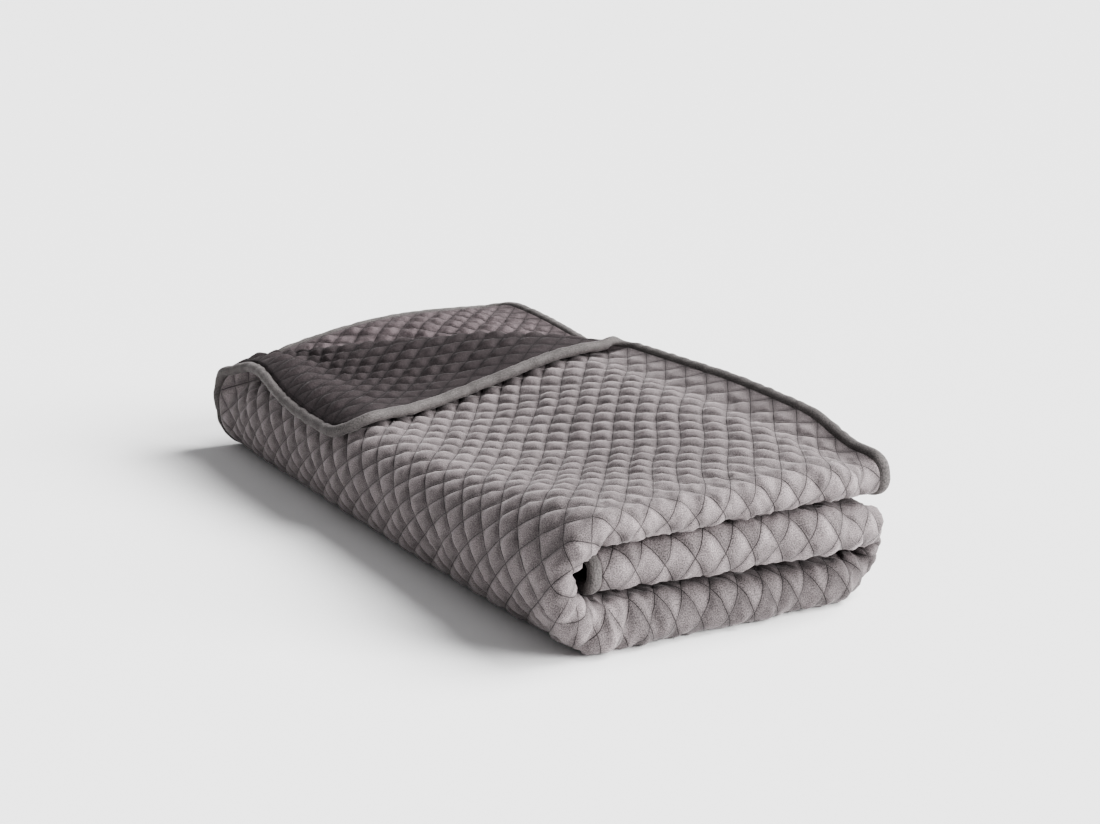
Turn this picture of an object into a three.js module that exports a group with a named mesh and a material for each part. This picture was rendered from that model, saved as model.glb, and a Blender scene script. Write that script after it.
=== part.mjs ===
// A quilted velvet bedspread, folded for display. The flat panel is folded in half along its length,
// light face out, then in thirds across, and one back corner of the top layer is turned over to show
// the reverse.
//
// Flat coordinates: u runs across the panel, from the free edge of the top arm, round the wide fold on
// the left, along the bottom arm, round the fold on the right and back along the middle arm. v runs
// along the panel, from the back end of the outer layer to the front fold and back to the back end of
// the inner layer.
// Stack coordinates: X across to the right, Y from the front fold towards the back, Z up from the floor.
import * as THREE from "three";

// Quilting, in millimetres
const PITCH_ACROSS = 32;
const PITCH_ALONG = 47;
const DIAMONDS_ACROSS = 40;
const DIAMONDS_ALONG = 44;
const PANEL_WIDTH = PITCH_ACROSS * DIAMONDS_ACROSS;
const PANEL_LENGTH = PITCH_ALONG * DIAMONDS_ALONG;
const SEAM_THICKNESS = 9;
const PUFF_HEIGHT = 3.5;
const PUFF_FADE = 26;
const CORNER_RADIUS = 40;

// Binding sewn round the edge
const BINDING_RADIUS = 6;
const BINDING_GAP = 1.5;
const BINDING_SIDES = 8;
const BINDING_STEP = 4;
const BINDING_LONGEST = 62;
const BINDING_TURN = THREE.MathUtils.degToRad(10);
const BINDING_FLOOR = 0.2;

// Stretches of the folded section, measured along u
const TOP_ARM = 350;
const LEFT_FOLD = 180;
const BOTTOM_ARM = 309;
const RIGHT_FOLD = 150;
const LEFT_FOLD_START = TOP_ARM;
const BOTTOM_START = LEFT_FOLD_START + LEFT_FOLD;
const RIGHT_FOLD_START = BOTTOM_START + BOTTOM_ARM;
const MIDDLE_START = RIGHT_FOLD_START + RIGHT_FOLD;
const MIDDLE_ARM = PANEL_WIDTH - MIDDLE_START;
const LEFT_AXIS = 32;
const RIGHT_AXIS = LEFT_AXIS + BOTTOM_ARM;

// The front fold takes up this much of v, and the layers settle over the first part of the stack behind it
const FRONT_FOLD = 1.5 * PITCH_ALONG;
const OUTER_END = (PANEL_LENGTH - FRONT_FOLD) / 2;
const INNER_START = OUTER_END + FRONT_FOLD;
const SETTLING = 330;
// The bend of the front fold bulges forward by a fixed part and a share of its own half-height, and is
// squarer than a circle
const FRONT_BULGE = { base: 16, share: 0.5 };
const NOSE_SQUARENESS = 2.6;
const NOSE_RATIO = 1.2;
const NOSE_SAMPLES = 96;

// Height of the middle of each layer: at the free-edge side and the wide-fold side, at the front fold
// and in the body of the stack behind it. bow lifts the layer halfway across, at the front fold only.
const LAYERS = {
  outer: {
    top: { frontRight: 162, frontLeft: 147, bodyRight: 177, bodyLeft: 119, bow: 0 },
    middle: { frontRight: 109, frontLeft: 103, bodyRight: 106, bodyLeft: 77, bow: 4 },
    bottom: { frontRight: 4, frontLeft: 4, bodyRight: 4, bodyLeft: 4, bow: 0 },
  },
  inner: {
    top: { frontRight: 131, frontLeft: 122, bodyRight: 153, bodyLeft: 96, bow: 2 },
    middle: { frontRight: 72, frontLeft: 67, bodyRight: 76, bodyLeft: 59, bow: -1 },
    bottom: { frontRight: 41, frontLeft: 48, bodyRight: 38, bodyLeft: 40, bow: 3 },
  },
};
// Half-widths of the rounded folds, at the front and in the body
const FOLD_WIDTHS = {
  outer: { leftFront: 60, leftBody: 57, rightFront: 55, rightBody: 50 },
  inner: { leftFront: 38, leftBody: 26, rightFront: 38, rightBody: 20 },
};

// The free edge of the top arm sinks where it runs into the front fold
const EDGE_DROOP = { across: 90, along: 150, outer: 14, inner: 6 };
// The inner layer's back end arches up behind the turned-back corner, and its free edge is drawn in and out
const BACK_ARCH = { edge: 24, middle: 23, across: 430, fadeStart: 300, fadeEnd: 400, reach: 1.2, margin: 15 };
const BACK_EDGE = { across: 345, pull: 40, out: 30, outAlong: 650 };
// The shoulder of the outer layer's wide fold sinks and narrows at the back end
const BACK_SAG = { start: 200, depth: 12, along: 170 };
const BACK_NARROWING = { width: 4, along: 130 };

// The front fold sits back a little at the free edges, along the bottom and round the right-hand fold
const TOP_RECESS = { across: 90, depth: 14, inward: 12 };
const MIDDLE_RECESS = 20;
const MIDDLE_STRETCH = 0.05;
const RIGHT_RECESS = 14;
const BOTTOM_RECESS = { left: 12, right: 24 };

// The turned-back corner: the crease runs from a point on the free edge to a point on the back edge
const CREASE_ON_EDGE = 470;
const CREASE_ON_BACK = 445;
const CREASE_LENGTH = Math.hypot(CREASE_ON_EDGE, CREASE_ON_BACK);
const CREASE_NORMAL = { u: CREASE_ON_EDGE / CREASE_LENGTH, v: CREASE_ON_BACK / CREASE_LENGTH };
const CREASE_OFFSET = CREASE_ON_BACK * CREASE_NORMAL.u;
// Radius of the crease's loop at its two ends, and from edgeEnd to backStart, as shares of its length
const LOOP_RADIUS = { edge: 8, middle: 11.5, back: 11 };
const LOOP_STRETCH = { edgeEnd: 0.3, backStart: 0.6 };
const FLAP_REST = 17.5;
const FLAP_SETTLING = 130;
// On the side of the wide fold the turned-back corner leans up rather than out: at its loop and at rest
const FLAP_LEAN = { loop: 1.2, rest: 0.4 };
// Where the corner goes for each millimetre that it is turned back
const FLAP_HEADING = { u: 0.575, v: 0.85 };
// Along its left side the turned-back corner is drawn in over the shoulder and stands off it, most at the
// peak, a distance from its loop
const FLAP_BOW = { peak: 45, inward: 17, inwardAlong: 200, lift: 20, liftAlong: 100 };

// Mesh spacing, in quarters of a diamond
const QUARTERS = 4;
const COLUMNS = DIAMONDS_ACROSS * QUARTERS;
const ROWS = DIAMONDS_ALONG * QUARTERS;
const ROOT_CELL = 2 * QUARTERS;
const FINE = 2;
const FINEST = 1;
const COARSE = 8;
const LOOP_REACH = 44;

const VELVET = new THREE.Color(0x8f8a88);
const BINDING_VELVET = new THREE.Color(0x98938f);

// Step in u and v over which a surface's slope is measured
const SLOPE_STEP = 0.5;

const lerp = THREE.MathUtils.lerp;
const smooth = (value) => THREE.MathUtils.smoothstep(value, 0, 1);
const clamp = THREE.MathUtils.clamp;

// Share of the way from the front fold to the settled body of the stack
const settled = (y) => smooth(y / SETTLING);

// Height of one arm of one layer at a share across, 0 at the wide fold and 1 at the free-edge side
function armHeight(arm, y, across) {
  const body = settled(y);
  const left = lerp(arm.frontLeft, arm.bodyLeft, body);
  const right = lerp(arm.frontRight, arm.bodyRight, body);
  const share = clamp(across, 0, 1);
  const rise = (1 - Math.cos(Math.PI * share)) / 2;
  return lerp(left, right, rise) + arm.bow * (1 - body) * Math.sin(Math.PI * share);
}

// Share of the inner layer's arch that is reached, from 0 under the turned-back corner to 1 at the end
function backLift(u, y) {
  const crease = CREASE_ON_EDGE * clamp(1 - u / CREASE_ON_BACK, 0, 1);
  return 1 - smooth((OUTER_END - y) / (BACK_ARCH.reach * crease + BACK_ARCH.margin));
}

// How far the inner layer is raised at its back end
function backArch(u, y) {
  const arch = Math.sin((Math.PI * u) / BACK_ARCH.across) ** 2;
  const fade = smooth((u - BACK_ARCH.fadeStart) / (BACK_ARCH.fadeEnd - BACK_ARCH.fadeStart));
  return (BACK_ARCH.edge + BACK_ARCH.middle * arch) * (1 - fade) * backLift(u, y);
}

// How far the shoulder of the wide fold has sunk at the back end
function backSag(u, y) {
  const across = smooth((u - BACK_SAG.start) / (LEFT_FOLD_START - BACK_SAG.start));
  const roundFold = (1 + Math.cos(Math.PI * clamp((u - LEFT_FOLD_START) / LEFT_FOLD, 0, 1))) / 2;
  return BACK_SAG.depth * across * roundFold * (1 - smooth((OUTER_END - y) / BACK_SAG.along));
}

// How far the top arm's free edge moves out, back and up: at the front, and in the inner layer's back
function edgeShift(name, u, y) {
  const front = 1 - smooth(y / EDGE_DROOP.along);
  const droop = EDGE_DROOP[name] * (1 - smooth(u / EDGE_DROOP.across)) * front;
  const atFreeEdge = (1 - smooth(u / TOP_RECESS.across)) * front;
  const shift = new THREE.Vector3(-TOP_RECESS.inward, TOP_RECESS.depth, 0).multiplyScalar(atFreeEdge);
  shift.z = -droop;
  if (name === "outer") {
    shift.z -= backSag(u, y);
    return shift;
  }
  const atEdge = 1 - smooth(u / BACK_EDGE.across);
  shift.x += BACK_EDGE.out * atEdge * (1 - smooth((OUTER_END - y) / BACK_EDGE.outAlong));
  shift.y -= BACK_EDGE.pull * atEdge * backLift(u, y);
  shift.z += backArch(u, y);
  return shift;
}

// A point on the wide fold on the left, which joins the top arm to the bottom arm
function leftFoldPoint(name, u, y) {
  const layer = LAYERS[name];
  const body = settled(y);
  const angle = (Math.PI * (u - LEFT_FOLD_START)) / LEFT_FOLD;
  const high = armHeight(layer.top, y, 0);
  const low = armHeight(layer.bottom, y, 0);
  const recess = ((BOTTOM_RECESS.left * (1 - Math.cos(angle))) / 2) * (1 - body);
  let width = lerp(FOLD_WIDTHS[name].leftFront, FOLD_WIDTHS[name].leftBody, body);
  let z = (high + low) / 2 + ((high - low) / 2) * Math.cos(angle);
  if (name === "outer") {
    width -= BACK_NARROWING.width * (1 - smooth((OUTER_END - y) / BACK_NARROWING.along));
    z -= backSag(u, y);
  } else {
    z += backArch(u, y);
  }
  return new THREE.Vector3(LEFT_AXIS - width * Math.sin(angle), y + recess, z);
}

// A point on the fold on the right, which joins the bottom arm to the middle arm
function rightFoldPoint(name, u, y) {
  const layer = LAYERS[name];
  const body = settled(y);
  const angle = (Math.PI * (u - RIGHT_FOLD_START)) / RIGHT_FOLD;
  const high = armHeight(layer.middle, y, 1);
  const low = armHeight(layer.bottom, y, 1);
  const width = lerp(FOLD_WIDTHS[name].rightFront, FOLD_WIDTHS[name].rightBody, body);
  const recess = RIGHT_RECESS * Math.sin(angle) + (BOTTOM_RECESS.right * (1 + Math.cos(angle))) / 2;
  const z = (high + low) / 2 - ((high - low) / 2) * Math.cos(angle);
  return new THREE.Vector3(RIGHT_AXIS + width * Math.sin(angle), y + recess * (1 - body), z);
}

// A point on the section of one layer, y behind the front fold
function section(name, u, y) {
  const layer = LAYERS[name];
  const front = 1 - settled(y);
  if (u < LEFT_FOLD_START) {
    const across = 1 - u / TOP_ARM;
    const point = new THREE.Vector3(LEFT_AXIS + TOP_ARM * across, y, armHeight(layer.top, y, across));
    return point.add(edgeShift(name, u, y));
  }
  if (u < BOTTOM_START) return leftFoldPoint(name, u, y);
  if (u < RIGHT_FOLD_START) {
    const across = (u - BOTTOM_START) / BOTTOM_ARM;
    const recess = lerp(BOTTOM_RECESS.left, BOTTOM_RECESS.right, across) * front;
    const z = armHeight(layer.bottom, y, across);
    return new THREE.Vector3(LEFT_AXIS + BOTTOM_ARM * across, y + recess, z);
  }
  if (u < MIDDLE_START) return rightFoldPoint(name, u, y);
  const run = u - MIDDLE_START;
  const recess = MIDDLE_RECESS * smooth(run / MIDDLE_ARM) * front;
  const x = RIGHT_AXIS - run * (1 + MIDDLE_STRETCH * front);
  return new THREE.Vector3(x, y + recess, armHeight(layer.middle, y, 1 - run / MIDDLE_ARM));
}

// The bend of the front fold as a squared half ring: at each sample its place up and forward on the ring,
// and the share of the ring's length up to it
function noseTable() {
  const power = 2 / NOSE_SQUARENESS;
  const samples = [];
  let run = 0;
  for (let k = 0; k <= NOSE_SAMPLES; k++) {
    const angle = (Math.PI * k) / NOSE_SAMPLES;
    const up = Math.sign(Math.cos(angle)) * Math.abs(Math.cos(angle)) ** power;
    const front = Math.max(Math.sin(angle), 0) ** power;
    const last = samples.at(-1);
    if (last) run += Math.hypot(up - last.up, NOSE_RATIO * (front - last.front));
    samples.push({ up, front, run });
  }
  return samples.map(({ up, front, run: length }) => ({ up, front, share: length / run }));
}

const NOSE_TABLE = noseTable();

// Place up and forward on the bend's ring, at a share of its length
function noseProfile(share) {
  const next = Math.max(NOSE_TABLE.findIndex((sample) => sample.share >= share), 1);
  const [a, b] = [NOSE_TABLE[next - 1], NOSE_TABLE[next]];
  const part = (share - a.share) / (b.share - a.share);
  return { up: lerp(a.up, b.up, part), front: lerp(a.front, b.front, part) };
}

// The folded panel's middle surface before the corner is turned over
function stackPoint(u, v) {
  if (v < OUTER_END) return section("outer", u, OUTER_END - v);
  if (v > INNER_START) return section("inner", u, v - INNER_START);
  const { up, front } = noseProfile((v - OUTER_END) / FRONT_FOLD);
  const outer = section("outer", u, 0);
  const inner = section("inner", u, 0);
  const spoke = outer.clone().sub(inner).multiplyScalar(0.5);
  const point = inner.addScaledVector(spoke, 1 + up);
  point.y -= (FRONT_BULGE.base + FRONT_BULGE.share * spoke.length()) * front;
  return point;
}

// The outward normal of a surface given as a function of u and v
function normalOf(surface, u, v) {
  const across = surface(u + SLOPE_STEP, v).sub(surface(u - SLOPE_STEP, v));
  const along = surface(u, v + SLOPE_STEP).sub(surface(u, v - SLOPE_STEP));
  return across.cross(along).normalize();
}

// Distance past the crease of the turned-back corner, and the share of the way along it
function creasePlace(u, v) {
  const past = CREASE_OFFSET - u * CREASE_NORMAL.u - v * CREASE_NORMAL.v;
  const along = (u * CREASE_NORMAL.v - v * CREASE_NORMAL.u) / CREASE_LENGTH + CREASE_NORMAL.u ** 2;
  return { past, along: clamp(along, 0, 1) };
}

// Radius of the loop at a share of the way along the crease
function loopRadius(along) {
  const { edgeEnd, backStart } = LOOP_STRETCH;
  const edge = lerp(LOOP_RADIUS.edge, LOOP_RADIUS.middle, smooth(along / edgeEnd));
  return lerp(edge, LOOP_RADIUS.back, smooth((along - backStart) / (1 - backStart)));
}

// The middle surface of the panel as it lies, the turned-back corner included
function panelPoint(u, v) {
  const { past, along } = creasePlace(u, v);
  if (past <= 0 || v > OUTER_END || u > BOTTOM_START) return stackPoint(u, v);
  const radius = loopRadius(along);
  const angle = Math.min(past / radius, Math.PI);
  const rest = Math.max(past - Math.PI * radius, 0);
  const reach = radius * Math.sin(angle) - rest;
  const loopLift = radius * (1 - Math.cos(angle));
  const nearLoop = Math.exp(-rest / FLAP_SETTLING);
  const bow = (rest / FLAP_BOW.peak) * Math.exp(1 - rest / FLAP_BOW.peak);
  const drawnIn = FLAP_BOW.inward * bow * (1 - smooth(v / FLAP_BOW.inwardAlong));
  const underU = u + past * CREASE_NORMAL.u - reach * FLAP_HEADING.u - drawnIn;
  const underV = v + past * CREASE_NORMAL.v - reach * FLAP_HEADING.v;
  let lift = rest > 0 ? lerp(FLAP_REST, loopLift, nearLoop) : loopLift;
  lift += FLAP_BOW.lift * bow * (1 - smooth(v / FLAP_BOW.liftAlong));
  const away = normalOf(stackPoint, underU, underV);
  away.z += lerp(FLAP_LEAN.rest, FLAP_LEAN.loop, nearLoop) * (1 - Math.abs(away.z));
  return stackPoint(underU, underV).addScaledVector(away.normalize(), lift);
}

// Padding between the stitch lines, 0 on a line and 1 in the middle of a diamond
function puff(u, v) {
  const across = u / PITCH_ACROSS;
  const along = v / PITCH_ALONG;
  const lines = Math.abs(Math.sin(Math.PI * (across + along)) * Math.sin(Math.PI * (across - along)));
  const edge = Math.min(u, v, PANEL_WIDTH - u, PANEL_LENGTH - v);
  return Math.sqrt(lines) * smooth(edge / PUFF_FADE);
}

// Moves a point near a corner of the rectangle on to the panel's rounded corner
function roundCorner(u, v) {
  const inU = clamp(u, CORNER_RADIUS, PANEL_WIDTH - CORNER_RADIUS);
  const inV = clamp(v, CORNER_RADIUS, PANEL_LENGTH - CORNER_RADIUS);
  const x = (u - inU) / CORNER_RADIUS;
  const y = (v - inV) / CORNER_RADIUS;
  const roundU = inU + CORNER_RADIUS * x * Math.sqrt(1 - (y * y) / 2);
  const roundV = inV + CORNER_RADIUS * y * Math.sqrt(1 - (x * x) / 2);
  return { u: roundU, v: roundV };
}

// A point on the light face (side 1) or the reverse (side -1); nothing lies below the floor
function facePoint(column, row, side) {
  const { u, v } = roundCorner((column * PITCH_ACROSS) / QUARTERS, (row * PITCH_ALONG) / QUARTERS);
  const thickness = SEAM_THICKNESS / 2 + PUFF_HEIGHT * puff(u, v);
  const point = panelPoint(u, v).addScaledVector(normalOf(panelPoint, u, v), side * thickness);
  point.z = Math.max(point.z, 0);
  return point;
}

// The place on the turned-back corner that lies over a place in front of the crease
function flapOver(u, v) {
  const { past, along } = creasePlace(u, v);
  const rest = -past / (FLAP_HEADING.u * CREASE_NORMAL.u + FLAP_HEADING.v * CREASE_NORMAL.v);
  const turned = rest + Math.PI * loopRadius(along);
  return {
    u: u - turned * CREASE_NORMAL.u - rest * FLAP_HEADING.u,
    v: v - turned * CREASE_NORMAL.v - rest * FLAP_HEADING.v,
  };
}

// Largest mesh step at a place on a face, in quarter diamonds. Faces that show carry the quilting, curved
// stretches follow their bend, and what lies between the layers stays coarse.
function spacingAt(column, row, side) {
  const u = (column * PITCH_ACROSS) / QUARTERS;
  const v = (row * PITCH_ALONG) / QUARTERS;
  const { past } = creasePlace(u, v);
  const outerLayer = v < OUTER_END;
  const overTop = u < BOTTOM_START - PITCH_ACROSS / 2;
  const turned = overTop && outerLayer && past > LOOP_REACH;
  const above = flapOver(u, v);
  const covered = past < 0 && Math.min(above.u, above.v) > LOOP_REACH;
  const atLoop = overTop && outerLayer && past > 0 && past < LOOP_REACH;
  const atFront = v > OUTER_END - PITCH_ALONG / 2 && v < INNER_START + PITCH_ALONG / 4;
  const inBend = v > OUTER_END && v < INNER_START;
  const inLeftFold = u > LEFT_FOLD_START - PITCH_ACROSS && u < BOTTOM_START + PITCH_ACROSS / 2;
  const inRightFold = u > RIGHT_FOLD_START && u < MIDDLE_START + PITCH_ACROSS / 2;
  const spacing = { across: COARSE, along: COARSE };
  const atBack = Math.min(v, PANEL_LENGTH - v) < PITCH_ALONG / 2;
  if (inLeftFold || inRightFold) spacing.across = atBack ? FINE : QUARTERS;
  if (atFront) spacing.along = inBend && side > 0 ? FINEST : FINE;
  if (atFront && side > 0) spacing.across = FINE;
  if (atLoop) return { across: FINEST, along: FINEST };
  const shownOuter = side > 0 && outerLayer && ((overTop && !turned && !covered) || inRightFold);
  const shownCorner = side < 0 && turned;
  const bared = CREASE_ON_EDGE * (1 - u / CREASE_ON_BACK);
  const shownUnder = side < 0 && overTop && !outerLayer && PANEL_LENGTH - v < bared;
  if (shownOuter || shownCorner || shownUnder) {
    spacing.across = FINE;
    spacing.along = Math.min(spacing.along, FINE);
  }
  if (turned && side > 0) spacing.along = Math.min(spacing.along, QUARTERS);
  return spacing;
}

// Splits the face into cells no larger than the spacing asked for anywhere in them
function cellsOf(side) {
  const cells = [];
  const visit = (column, row, width, height) => {
    let across = COARSE;
    let along = COARSE;
    for (const x of [0, 0.5, 1]) {
      for (const y of [0, 0.5, 1]) {
        const spacing = spacingAt(column + x * width, row + y * height, side);
        across = Math.min(across, spacing.across);
        along = Math.min(along, spacing.along);
      }
    }
    const widths = width > across ? [0, width / 2] : [0];
    const heights = height > along ? [0, height / 2] : [0];
    if (widths.length + heights.length === 2) {
      cells.push({ column, row, width, height });
      return;
    }
    for (const x of widths) {
      for (const y of heights) visit(column + x, row + y, width / widths.length, height / heights.length);
    }
  };
  for (let column = 0; column < COLUMNS; column += ROOT_CELL) {
    for (let row = 0; row < ROWS; row += ROOT_CELL) visit(column, row, ROOT_CELL, ROOT_CELL);
  }
  return cells;
}

const placeKey = (column, row) => `${column},${row}`;

// The places round a cell's outline that carry a vertex, anticlockwise from its first corner
function outlineOf(cell, used) {
  const { column, row, width, height } = cell;
  const places = [];
  for (let x = 0; x < width; x++) places.push([column + x, row]);
  for (let y = 0; y < height; y++) places.push([column + width, row + y]);
  for (let x = width; x > 0; x--) places.push([column + x, row + height]);
  for (let y = height; y > 0; y--) places.push([column, row + y]);
  return places.filter(([x, y]) => used.has(placeKey(x, y)));
}

// Every place round the panel's edge, in quarter diamonds, anticlockwise
function edgePlaces() {
  return outlineOf({ column: 0, row: 0, width: COLUMNS, height: ROWS }, { has: () => true });
}

// One closed solid: both faces, with the edge between them
function panelGeometry() {
  const positions = [];
  const index = [];
  const newFace = (side) => ({ side, cells: cellsOf(side), used: new Set(), vertices: new Map() });
  const sides = [1, -1].map(newFace);
  for (const { cells, used } of sides) {
    for (const { column, row, width, height } of cells) {
      for (const x of [column, column + width]) {
        for (const y of [row, row + height]) used.add(placeKey(x, y));
      }
    }
  }
  const edge = edgePlaces().filter(([x, y]) => sides.some(({ used }) => used.has(placeKey(x, y))));
  for (const [x, y] of edge) {
    for (const { used } of sides) used.add(placeKey(x, y));
  }
  const vertexAt = (face, column, row) => {
    const key = placeKey(column, row);
    if (!face.vertices.has(key)) {
      face.vertices.set(key, positions.length / 3);
      positions.push(...facePoint(column, row, face.side).toArray());
    }
    return face.vertices.get(key);
  };
  const addTriangle = (side, a, b, c) => index.push(...(side > 0 ? [a, b, c] : [a, c, b]));
  for (const face of sides) {
    for (const cell of face.cells) {
      const places = outlineOf(cell, face.used);
      const round = places.map(([x, y]) => vertexAt(face, x, y));
      if (round.length === 4) {
        // The shared edge of the two triangles follows the stitch line that crosses the cell
        const rising = (cell.column - cell.row) % QUARTERS === 0;
        const [a, b, c, d] = round;
        addTriangle(face.side, a, b, rising ? c : d);
        addTriangle(face.side, rising ? a : b, c, d);
      } else {
        const centre = vertexAt(face, cell.column + cell.width / 2, cell.row + cell.height / 2);
        round.forEach((corner, k) => addTriangle(face.side, corner, round[(k + 1) % round.length], centre));
      }
    }
  }
  const [light, reverse] = sides;
  edge.forEach(([x, y], k) => {
    const [nextX, nextY] = edge[(k + 1) % edge.length];
    const a = vertexAt(light, x, y);
    const b = vertexAt(light, nextX, nextY);
    const c = vertexAt(reverse, nextX, nextY);
    const d = vertexAt(reverse, x, y);
    index.push(b, a, d, b, d, c);
  });
  return new THREE.BufferGeometry()
    .setAttribute("position", new THREE.Float32BufferAttribute(positions, 3))
    .setIndex(index);
}

// The panel's outline in flat coordinates, which the binding follows
function bindingRoute() {
  const line = new THREE.Path();
  const [left, right] = [CORNER_RADIUS, PANEL_WIDTH - CORNER_RADIUS];
  const [back, end] = [CORNER_RADIUS, PANEL_LENGTH - CORNER_RADIUS];
  const radius = CORNER_RADIUS;
  const quarter = Math.PI / 2;
  line.moveTo(left, 0);
  line.lineTo(right, 0);
  line.absarc(right, back, radius, -quarter, 0, false);
  line.lineTo(right + radius, end);
  line.absarc(right, end, radius, 0, quarter, false);
  line.lineTo(left, end + radius);
  line.absarc(left, end, radius, quarter, 2 * quarter, false);
  line.lineTo(left - radius, back);
  line.absarc(left, back, radius, 2 * quarter, 3 * quarter, false);
  return line;
}

// Where the binding lies at one place on its route: its centre, and the directions out from the panel
// and up
function bindingFrame(route, share) {
  const flat = route.getPointAt(share % 1);
  const ahead = route.getTangentAt(share % 1);
  const edge = panelPoint(flat.x, flat.y);
  const up = normalOf(panelPoint, flat.x, flat.y);
  const forward = panelPoint(flat.x + ahead.x, flat.y + ahead.y).sub(edge).normalize();
  const out = forward.clone().cross(up).normalize();
  const centre = edge.addScaledVector(out, BINDING_RADIUS + BINDING_GAP);
  return { centre, up, out, forward };
}

// Stations round the edge, closer together where the route or the cloth turns
function bindingStations() {
  const route = bindingRoute();
  const length = route.getLength();
  const steps = Math.round(length / BINDING_STEP);
  const stations = [bindingFrame(route, 0)];
  let since = 0;
  for (let step = 1; step < steps; step++) {
    const frame = bindingFrame(route, step / steps);
    const last = stations.at(-1);
    since += length / steps;
    const turn = Math.max(frame.forward.angleTo(last.forward), frame.up.angleTo(last.up));
    if (turn < BINDING_TURN && since < BINDING_LONGEST) continue;
    stations.push(frame);
    since = 0;
  }
  return stations;
}

// A closed round welt that follows the whole edge
function bindingGeometry() {
  const positions = [];
  const index = [];
  const stations = bindingStations();
  for (const { centre, up, out } of stations) {
    for (let side = 0; side < BINDING_SIDES; side++) {
      const angle = (2 * Math.PI * side) / BINDING_SIDES;
      const point = centre.clone();
      point.addScaledVector(out, BINDING_RADIUS * Math.cos(angle));
      point.addScaledVector(up, BINDING_RADIUS * Math.sin(angle));
      point.z = Math.max(point.z, BINDING_FLOOR);
      positions.push(...point.toArray());
    }
  }
  for (let station = 0; station < stations.length; station++) {
    const here = station * BINDING_SIDES;
    const next = ((station + 1) % stations.length) * BINDING_SIDES;
    for (let side = 0; side < BINDING_SIDES; side++) {
      const after = (side + 1) % BINDING_SIDES;
      index.push(here + side, next + side, next + after);
      index.push(here + side, next + after, here + after);
    }
  }
  return new THREE.BufferGeometry()
    .setAttribute("position", new THREE.Float32BufferAttribute(positions, 3))
    .setIndex(index);
}

const group = new THREE.Group();

const panel = new THREE.Mesh(
  panelGeometry(),
  new THREE.MeshStandardMaterial({ color: VELVET, roughness: 0.9, metalness: 0 }),
);
panel.name = "quilted_panel";
group.add(panel);

const binding = new THREE.Mesh(
  bindingGeometry(),
  new THREE.MeshStandardMaterial({ color: BINDING_VELVET, roughness: 0.85, metalness: 0 }),
);
binding.name = "edge_binding";
group.add(binding);

// The origin is on the floor, under the middle of the stack
const extent = new THREE.Box3().setFromObject(group);
const middle = extent.getCenter(new THREE.Vector3());
for (const piece of [panel, binding]) piece.position.set(-middle.x, -middle.y, 0);

export default group;
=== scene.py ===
"""A quilted velvet bedspread, folded in half along its length, then in thirds, one corner turned over.

Flat coordinates in millimetres: u runs across the panel, from the free edge of the top arm, round the
wide fold on the left, along the bottom arm, round the fold on the right and back along the middle arm.
v runs along it, from the back end of the outer layer to the front fold and back to the back end of the
inner layer. Stack coordinates: X across, Y from the front fold to the back, Z up from the floor.
"""
import math

import bpy
import numpy as np
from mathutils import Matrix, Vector


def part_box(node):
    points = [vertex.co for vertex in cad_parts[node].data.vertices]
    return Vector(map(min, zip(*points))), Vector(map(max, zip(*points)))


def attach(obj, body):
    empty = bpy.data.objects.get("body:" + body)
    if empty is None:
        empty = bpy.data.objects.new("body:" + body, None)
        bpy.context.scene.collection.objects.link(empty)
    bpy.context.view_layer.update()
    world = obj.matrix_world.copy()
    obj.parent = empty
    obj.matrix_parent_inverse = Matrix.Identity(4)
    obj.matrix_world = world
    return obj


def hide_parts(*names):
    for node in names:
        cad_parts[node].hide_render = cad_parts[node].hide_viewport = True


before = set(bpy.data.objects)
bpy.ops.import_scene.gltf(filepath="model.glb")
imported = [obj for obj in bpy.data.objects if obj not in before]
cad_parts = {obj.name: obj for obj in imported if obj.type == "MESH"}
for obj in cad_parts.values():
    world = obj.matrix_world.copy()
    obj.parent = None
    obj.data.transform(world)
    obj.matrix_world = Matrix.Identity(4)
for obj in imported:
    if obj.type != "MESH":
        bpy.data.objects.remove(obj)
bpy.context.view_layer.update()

MM = 0.001
# Seeds of the random draws, and the side in diamonds of a table of draws, which then repeats
SEEDS = dict(puff_light=5, puff_reverse=6, wrinkle_light=15, wrinkle_reverse=16, binding=25, wander=35)
DRAW_TABLE = 256

# Quilting
PITCH_ACROSS = 32.0
PITCH_ALONG = 47.0
DIAMONDS_ACROSS = 40
DIAMONDS_ALONG = 44
PANEL_WIDTH = PITCH_ACROSS * DIAMONDS_ACROSS
PANEL_LENGTH = PITCH_ALONG * DIAMONDS_ALONG
SEAM_THICKNESS = 9.0
# Height of a puff, and how squarely it stands up from its stitch lines, on the light face and the reverse
PUFF_HEIGHT = dict(light=5.6, reverse=4.8)
PUFF_POWER = dict(light=0.62, reverse=0.85)
# By what share puffs differ, and how far in from the edge they reach their full height
PUFF_UNEVEN = 0.16
PUFF_FADE = 26.0
# Puffs are flatter round the wide fold and the front fold, where the cloth is pressed on the floor, on the
# inside of the crease's loop and beside the free edge
PUFF_ON_WRAP = 0.65
WRAP_FADE = 120.0
PUFF_ON_NOSE = 0.4
PUFF_ON_FLOOR = 0.3
PUFF_IN_LOOP = 0.25
PUFF_BY_EDGE = dict(share=0.6, start=26, end=75)
PRESSED_HEIGHT = 30.0
CORNER_RADIUS = 40.0

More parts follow.
